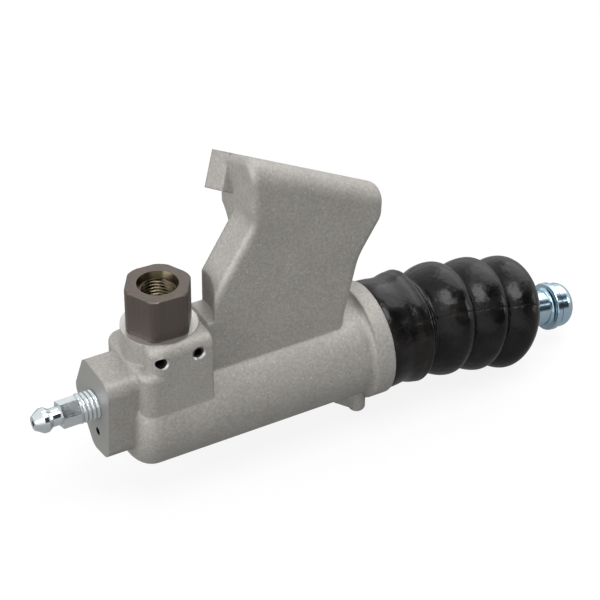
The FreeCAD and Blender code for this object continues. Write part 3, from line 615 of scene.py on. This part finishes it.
def make_hose_adapter(steel, mouth):
    """The adapter: a grooved stem, a hexagon, and a tapped mouth with a lead-in and a hose seat."""
    stem = [(STEM_END_Z, STEM_RADIUS)]
    stem += stem_groove(SEAL_Z, SEAL_GROOVE_HALF, SEAL_GROOVE_RADIUS)
    stem += stem_groove(PIN_Z, PIN_GROOVE_HALF, PIN_GROOVE_RADIUS)
    stem += [(SPOTFACE_Z, STEM_RADIUS)]
    rings = [round_adapter_ring(z, r) for z, r in stem]
    rings += [hexagon_ring(SPOTFACE_Z + d, d) for d in HEX_CHAMFER_RINGS]
    rings += [hexagon_ring(HEX_TOP_Z - d, d) for d in reversed(HEX_CHAMFER_RINGS)]
    outside_points = len(rings) * ADAPTER_AROUND
    hole = [(HEX_TOP_Z - depth, radius) for depth, radius in LEAD_IN]
    hole += [
        (MOUTH_FLOOR_Z, MOUTH_FLOOR_RADIUS), (SEAT_FOOT_Z, SEAT_FOOT_RADIUS),
        (SEAT_TIP_Z, FLUID_HOLE_RADIUS), (STEM_END_Z, FLUID_HOLE_RADIUS),
    ]
    rings += [round_adapter_ring(z, r) for z, r in hole]
    points, faces = skin_rings(rings, closed=True)
    piece = mesh_object("turned_hose_adapter", points, faces, steel, sharp_deg=12.0)
    piece.data.materials.append(mouth)
    for face in piece.data.polygons:
        if all(index >= outside_points for index in face.vertices):
            face.material_index = 1
    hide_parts("hose_adapter")
    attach(piece, "housing")


# Threads

THREAD_AROUND = 48
THREAD_STEPS = 8
THREAD_FLANK = 1.35
THREAD_FLAT = 0.15

PORT_THREAD_PITCH = 1.0
PORT_THREAD_LOW_Z = 34.4
PORT_THREAD_TOP_Z = 39.5
PORT_THREAD_CREST = 4.45
PORT_THREAD_ROOT = 4.94
PORT_THREAD_BACK = 4.97

BLEED_THREAD_PITCH = 1.25
BLEED_THREAD_START_X = BLEED_FACE_X - 5.0
BLEED_THREAD_END_X = BLEED_FACE_X - 0.05
BLEED_THREAD_CREST = 4.25
BLEED_THREAD_ROOT = 3.95
BLEED_THREAD_CORE = 3.9


def thread_point(axis_point, along, height, radius, step):
    """Point at a height along a thread's axis and one of the even steps round it."""
    angle = 2 * math.pi * step / THREAD_AROUND
    side = Vector((0, 1, 0))
    out = math.cos(angle) * side + math.sin(angle) * along.cross(side)
    return axis_point + along * height + out * radius


def thread_rings(start, end, pitch, crest, root, axis_point, along):
    """Rings of a real helical thread: every point's radius follows its height in the turn."""
    steps = int((end - start) / pitch * THREAD_STEPS)
    rings = []
    for i in range(steps + 1):
        height = start + (end - start) * i / steps
        ring = []
        for step in range(THREAD_AROUND):
            turn = (height / pitch - step / THREAD_AROUND) % 1.0
            rise = THREAD_FLANK * (1 - abs(2 * turn - 1)) - THREAD_FLAT
            radius = root + (crest - root) * min(max(rise, 0), 1)
            ring.append(thread_point(axis_point, along, height, radius, step))
        rings.append(ring)
    return rings


def plain_thread_rings(radius, heights, axis_point, along):
    """Plain rings that close a thread's back."""
    return [
        [thread_point(axis_point, along, height, radius, step) for step in range(THREAD_AROUND)]
        for height in heights
    ]


def hose_port_thread(mouth):
    """M10 by 1 thread inside the adapter's mouth."""
    axis = (Vector((PORT_X, 0, 0)), Vector((0, 0, 1)))
    inner = thread_rings(PORT_THREAD_LOW_Z, PORT_THREAD_TOP_Z, PORT_THREAD_PITCH,
                         PORT_THREAD_CREST, PORT_THREAD_ROOT, *axis)
    back = plain_thread_rings(PORT_THREAD_BACK, (PORT_THREAD_TOP_Z, PORT_THREAD_LOW_Z), *axis)
    points, faces = skin_rings(inner + back, closed=True)
    piece = mesh_object("hose_port_thread", points, faces, mouth)
    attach(piece, "housing")


def bleed_screw_thread(plate):
    """M8 by 1.25 thread on the bleed screw outside its boss, its crests a little proud so that they show."""
    axis = (Vector((0, 0, BLEED_Z)), Vector((1, 0, 0)))
    outer = thread_rings(BLEED_THREAD_START_X, BLEED_THREAD_END_X, BLEED_THREAD_PITCH,
                         BLEED_THREAD_CREST, BLEED_THREAD_ROOT, *axis)
    core = plain_thread_rings(BLEED_THREAD_CORE, (BLEED_THREAD_END_X, BLEED_THREAD_START_X), *axis)
    points, faces = skin_rings(outer + core, closed=True)
    piece = mesh_object("bleed_screw_thread", points, faces, plate)
    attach(piece, "bleeder")


# Return spring

SPRING_WIRE_RADIUS = 0.8
SPRING_FAR_RADIUS = 9.0
SPRING_SEAT_RADIUS = 6.4
SPRING_TURNS = 6.5
SPRING_STEPS_PER_TURN = 32
SPRING_WIRE_AROUND = 10


def make_return_spring(steel):
    """Conical coil between the bottom of the bore and the piston."""
    low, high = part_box("return_spring")
    start = low[0] / MM - CYLINDER_ORIGIN.x + SPRING_WIRE_RADIUS
    end = high[0] / MM - CYLINDER_ORIGIN.x - SPRING_WIRE_RADIUS
    steps = int(SPRING_TURNS * SPRING_STEPS_PER_TURN)
    along = Vector((1, 0, 0))
    wire_angles = [2 * math.pi * j / SPRING_WIRE_AROUND for j in range(SPRING_WIRE_AROUND)]
    rings = []
    for step in range(steps + 1):
        share = step / steps
        turn = 2 * math.pi * SPRING_TURNS * share
        radius = SPRING_FAR_RADIUS + (SPRING_SEAT_RADIUS - SPRING_FAR_RADIUS) * share
        out = Vector((0, math.cos(turn), math.sin(turn)))
        centre = along * (start + (end - start) * share) + out * radius
        rings.append([
            centre + SPRING_WIRE_RADIUS * (math.cos(a) * along + math.sin(a) * out) for a in wire_angles])
    points, faces = skin_rings(rings, closed=False)
    piece = mesh_object("conical_coil_spring", points, faces, steel)
    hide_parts("return_spring")
    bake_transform(piece)


# Finishes on the carried-over pieces

# The casting's materials, in the order in which it is given them.
AS_CAST = 0
MACHINED = 1
# Painted shade for the insides of the dimple and the pin holes.
HOLE_SHADE = 2
FACE_MILLED = 3

CLOSE = 0.05
VERY_CLOSE = 0.01

# Limits on the way a face looks: out of the bleed boss, in line with the pad, and the most that a pin
# hole's chamfer and its drilled wall look towards the front.
FACING = 0.9
IN_LINE_WITH_PAD = 0.999
CHAMFER_FACING = 0.95
WALL_FACING = 0.1


def dress(node, *materials):
    """Gives a carried-over piece its materials, the first one all over."""
    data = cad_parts[node].data
    data.materials.clear()
    for material in materials:
        data.materials.append(material)
    for face in data.polygons:
        face.material_index = 0


def casting_finish(place, normal):
    """Which of the casting's materials a face has, by where it lies and which way it looks."""
    from_dimple = math.hypot(place.y - DIMPLE_Y, place.z - DIMPLE_Z)
    in_dimple = BLEED_FACE_X + VERY_CLOSE < place.x < BLEED_FACE_X + DIMPLE_DEPTH
    # The dimple's inside gets painted shade.
    if in_dimple and from_dimple < DIMPLE_RADIUS + CLOSE:
        return HOLE_SHADE
    bleed_face = abs(place.x - BLEED_FACE_X) < CLOSE and normal.x < -FACING
    above_pad = (place - PAD_CENTRE).dot(PAD_NORMAL)
    pad = abs(above_pad) < 2 * CLOSE and normal.dot(PAD_NORMAL) > IN_LINE_WITH_PAD
    if bleed_face or pad:
        return FACE_MILLED
    pin_x = PORT_X + math.copysign(PIN_OFFSET, place.x - PORT_X)
    from_pin = math.hypot(place.x - pin_x, place.z - PIN_Z)
    in_block = abs(place.y) < PORT_BLOCK_HALF_DEPTH + VERY_CLOSE
    pin_hole = in_block and from_pin < PIN_CHAMFER_RADIUS and abs(normal.y) < CHAMFER_FACING
    # A pin hole's drilled wall gets painted shade.
    if pin_hole and abs(normal.y) < WALL_FACING:
        return HOLE_SHADE
    from_port = math.hypot(place.x - PORT_X, place.y)
    at_spotface = SPOTFACE_Z - CLOSE < place.z < SPOTFACE_Z + SPOTFACE_CHAMFER + CLOSE
    spotface = at_spotface and from_port < SPOTFACE_RADIUS + CLOSE
    port_bore = from_port < PORT_BORE_RADIUS + 2 * CLOSE and PORT_BORE_FLOOR_Z < place.z < SPOTFACE_Z
    cylinder_bore = math.hypot(place.y, place.z) < INSIDE_BARREL_RADIUS and place.x > CYLINDER_BORE_FLOOR_X
    nose = place.x > CLOSE
    return MACHINED if spotface or port_bore or pin_hole or cylinder_bore or nose else AS_CAST


def mark_machined_faces():
    """Puts their own finishes on the casting's cut faces: spotface, bores, bleed face, pad and nose."""
    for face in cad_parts["cylinder_body"].data.polygons:
        face.material_index = casting_finish(face.center / MM - CYLINDER_ORIGIN, face.normal)


def dress_all():
    """Every finish but the boot's, on the carried-over pieces and on the pieces made here."""
    steel = dark_passivated_steel()
    mouth = olive_chromate_thread()
    screw_plate = blue_zinc_plate("blue_zinc_plated_screw", "#e6eaeb", "#ccd8dc")
    rod_plate = blue_zinc_plate("blue_zinc_plated_rod", "#c6dae6", "#97b8cd")
    spring = spring_steel()
    seal = moulded_rubber("moulded_seal_rubber", "#161616", "#1f1f1f", 0.4)
    machined = machined_aluminium("machined_aluminium", "#c4c3bf", 0.9, 0.38)
    face_milled = machined_aluminium("face_milled_aluminium", "#9c9c99", 0.6, 0.5)
    dress("cylinder_body", bead_blasted_casting(), machined, painted_shade_hole_wall(), face_milled)
    mark_machined_faces()
    dress("bleed_screw", screw_plate)
    dress("pushrod", rod_plate)
    dress("piston", turned_aluminium())
    for node in ("roll_pin_left", "roll_pin_right", "spring_seat", "stop_ring"):
        dress(node, spring)
    for node in ("adapter_o_ring", "primary_cup", "secondary_cup"):
        dress(node, seal)
    make_hose_adapter(steel, mouth)
    hose_port_thread(mouth)
    bleed_screw_thread(screw_plate)
    make_return_spring(spring)


# Studio. Lengths here are in metres, apart from places in the cylinder's own millimetres.

CAMERA_PLACE = Vector((-0.230118, -0.400832, 0.287766))
CAMERA_TURN = (math.radians(54.25587), math.radians(-0.71951), math.radians(-29.54541))
CAMERA_LENS = 119.873

FLOOR_HALF_SIZE = 3.0
FLOOR_UNDER_PART = (0, 0, -24.2)
FLOOR_WHITE = 0.86
FLOOR_FADE_FROM = 0.15
FLOOR_FADE_TO = 0.45
FLOOR_IN_METAL = 0.2

ROOM_LIGHT = 0.505
DARK_SIDE = Vector((0.50, -0.66, 0.56))
DARK_SIDE_EDGE = (0.74, 0.91)
DARK_SIDE_WHITE = 0.04

# Soft boxes: name, place from the point they are aimed at, width, and power in watts.
LAMP_TARGET = (-20, 0, 15)
LAMPS = [
    ("left_softbox", (-0.85, -0.1, 0.12), 0.8, 6.6),
    ("top_softbox", (0.0, -0.25, 0.9), 0.5, 4.5),
    ("right_softbox", (0.95, -0.45, 0.38), 0.35, 1.3),
    ("back_softbox", (0.6, 0.35, 0.65), 0.8, 3.4),
]

WHITE = (1, 1, 1, 1)


def make_camera():
    """The camera where the photograph was taken from."""
    camera = bpy.data.cameras.new("camera")
    camera.sensor_width = 36.0
    camera.lens = CAMERA_LENS
    camera.clip_start = 0.01
    camera.clip_end = 20.0
    holder = bpy.data.objects.new("camera", camera)
    holder.location = CAMERA_PLACE
    holder.rotation_euler = CAMERA_TURN
    bpy.context.scene.collection.objects.link(holder)
    bpy.context.scene.camera = holder


def seen_in_metal(tree, path):
    """1 for what metal reflects or glass passes on, and 0 for the rest."""
    return add(tree, "ShaderNodeMath", {
        0: path.outputs["Is Glossy Ray"], 1: path.outputs["Is Transmission Ray"]},
        operation="MAXIMUM").outputs[0]


def seen_as_white(tree, path, to_camera, to_metal):
    """How white the background is made for the camera, and how white in metal and through glass."""
    camera_part = add(tree, "ShaderNodeMath", {
        0: path.outputs["Is Camera Ray"], 1: to_camera}, operation="MULTIPLY").outputs[0]
    metal_part = add(tree, "ShaderNodeMath", {
        0: seen_in_metal(tree, path), 1: to_metal}, operation="MULTIPLY").outputs[0]
    return add(tree, "ShaderNodeMath", {0: camera_part, 1: metal_part}, operation="MAXIMUM").outputs[0]


def white_paper_sweep():
    """Matt paper, over-lit to white for the camera, which bounces less light back onto the part."""
    material = bpy.data.materials.new("white_paper_sweep")
    material.use_nodes = True
    tree = material.node_tree
    paper = tree.nodes["Principled BSDF"]
    paper.inputs["Roughness"].default_value = 0.9
    path = add(tree, "ShaderNodeLightPath")
    sheet = add(tree, "ShaderNodeMix", {
        "Factor": path.outputs["Is Camera Ray"], COLOUR_A: linear("#868686"), COLOUR_B: linear("#f4f4f4")},
        data_type="RGBA").outputs[COLOUR_OUT]
    tree.links.new(sheet, paper.inputs["Base Color"])
    white = add(tree, "ShaderNodeEmission", {"Color": WHITE, "Strength": 1.0}).outputs[0]
    # Away from the part the lamps fall off, so the paper fades into the white room behind it.
    place = add(tree, "ShaderNodeTexCoord").outputs["Object"]
    away = add(tree, "ShaderNodeVectorMath", {0: place}, operation="LENGTH").outputs["Value"]
    to_camera = add(tree, "ShaderNodeMapRange", {
        "Value": away, "From Min": FLOOR_FADE_FROM, "From Max": FLOOR_FADE_TO,
        "To Min": FLOOR_WHITE, "To Max": 1.0}, interpolation_type="SMOOTHSTEP").outputs["Result"]
    amount = seen_as_white(tree, path, to_camera, FLOOR_IN_METAL)
    shader = add(tree, "ShaderNodeMixShader", {0: amount, 1: paper.outputs[0], 2: white}).outputs[0]
    tree.links.new(shader, tree.nodes["Material Output"].inputs["Surface"])
    return material


def make_floor():
    """A flat sheet just under the part."""
    height = to_frame(FLOOR_UNDER_PART).z
    sides = [(-1, -1), (1, -1), (1, 1), (-1, 1)]
    corners = [(x * FLOOR_HALF_SIZE, y * FLOOR_HALF_SIZE, height) for x, y in sides]
    mesh = bpy.data.meshes.new("floor")
    mesh.from_pydata(corners, [], [(0, 1, 2, 3)])
    mesh.materials.append(white_paper_sweep())
    floor = bpy.data.objects.new("floor", mesh)
    bpy.context.scene.collection.objects.link(floor)


def make_world():
    """White room, with an unlit side towards the camera that reflects dark in bright metal."""
    world = bpy.data.worlds.new("studio")
    world.use_nodes = True
    tree = world.node_tree
    room = tree.nodes["Background"]
    room.inputs["Color"].default_value = WHITE
    room.inputs["Strength"].default_value = ROOM_LIGHT
    direction = add(tree, "ShaderNodeTexCoord").outputs["Generated"]
    towards = add(tree, "ShaderNodeVectorMath", {
        0: direction, 1: DARK_SIDE.normalized()}, operation="DOT_PRODUCT").outputs["Value"]
    white_share = add(tree, "ShaderNodeMapRange", {
        "Value": towards, "From Min": DARK_SIDE_EDGE[0], "From Max": DARK_SIDE_EDGE[1],
        "To Min": 1.0, "To Max": DARK_SIDE_WHITE}, interpolation_type="SMOOTHSTEP").outputs["Result"]
    white = add(tree, "ShaderNodeBackground", {"Color": WHITE, "Strength": 1.0}).outputs[0]
    in_metal = add(tree, "ShaderNodeBackground", {"Color": WHITE, "Strength": white_share}).outputs[0]
    path = add(tree, "ShaderNodeLightPath")
    mixed = add(tree, "ShaderNodeMixShader", {
        0: seen_in_metal(tree, path), 1: room.outputs[0], 2: in_metal}).outputs[0]
    shown = add(tree, "ShaderNodeMixShader", {
        0: path.outputs["Is Camera Ray"], 1: mixed, 2: white}).outputs[0]
    tree.links.new(shown, tree.nodes["World Output"].inputs["Surface"])
    bpy.context.scene.world = world


def area_light(name, place, target, size, power):
    """A soft box at a place in the frame's metres, aimed at a target."""
    light = bpy.data.lights.new(name, "AREA")
    light.shape = "SQUARE"
    light.size = size
    light.energy = power
    holder = bpy.data.objects.new(name, light)
    holder.location = place
    holder.rotation_euler = (target - place).to_track_quat("-Z", "Y").to_euler()
    bpy.context.scene.collection.objects.link(holder)


def make_lights():
    """Four soft boxes round the part, the strongest on its left."""
    target = to_frame(LAMP_TARGET)
    for name, offset, size, power in LAMPS:
        area_light(name, target + Vector(offset), target, size, power)


make_camera()
make_floor()
make_world()
make_lights()
dress_all()
make_boot()
bpy.context.scene.view_settings.view_transform = "Standard"
